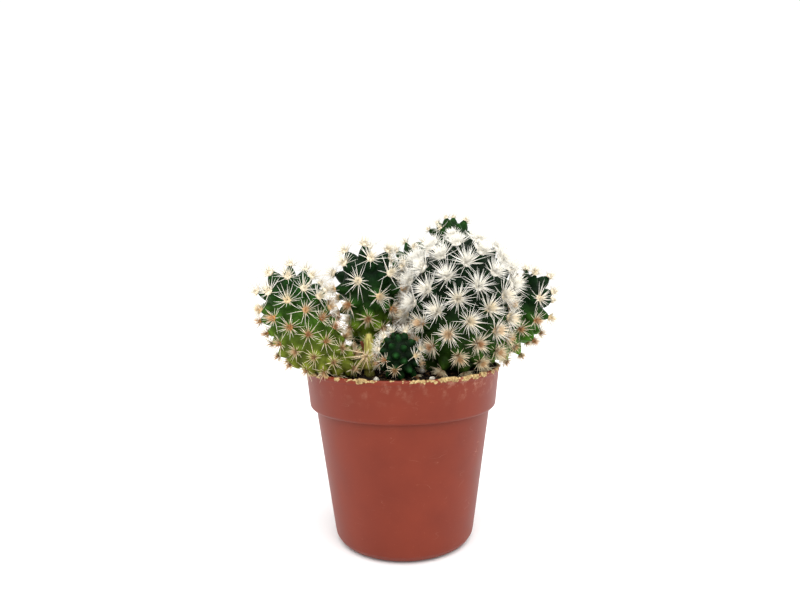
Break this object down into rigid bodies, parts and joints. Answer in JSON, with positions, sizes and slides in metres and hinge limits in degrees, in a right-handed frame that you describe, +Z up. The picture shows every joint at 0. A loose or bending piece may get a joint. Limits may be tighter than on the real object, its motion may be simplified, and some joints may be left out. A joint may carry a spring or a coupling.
{
  "type": "potted round cactus",
  "caption": "Clump of round spiny cactus stems with fat tubercles, growing in a small round moulded nursery pot with a collared rim.",
  "frame": {"origin": "middle of the pot's underside, where it stands", "axes": "+Z up along the pot's axis; +Y to the back of the clump; +X to the side where the clump leans out farthest"},
  "size_m": [0.0865, 0.0556, 0.0948],
  "materials": {
    "terracotta_plastic": "satin",
    "potting_mix": "matte",
    "cactus_flesh": "satin",
    "withered_flesh": "matte",
    "dry_stalk": "matte",
    "dry_spines": "matte",
    "perlite": "matte"
  },
  "bodies": {
    "root": {"pot": "terracotta_plastic", "potting_mix": "potting_mix", "stem_left": "cactus_flesh", "stem_middle": "cactus_flesh", "stem_front": "cactus_flesh", "stem_large": "cactus_flesh", "stem_right": "cactus_flesh", "stem_rear_tall": "cactus_flesh", "stem_rear_middle": "cactus_flesh", "stem_rear_left": "cactus_flesh", "stem_rear_right": "cactus_flesh", "withered_offset": "withered_flesh", "dry_stalk": "dry_stalk", "dry_spine_tuft": "dry_spines", "perlite_grain_1": "perlite", "perlite_grain_2": "perlite", "perlite_grain_3": "perlite", "perlite_grain_4": "perlite", "perlite_grain_5": "perlite"}
  },
  "joints": []
}
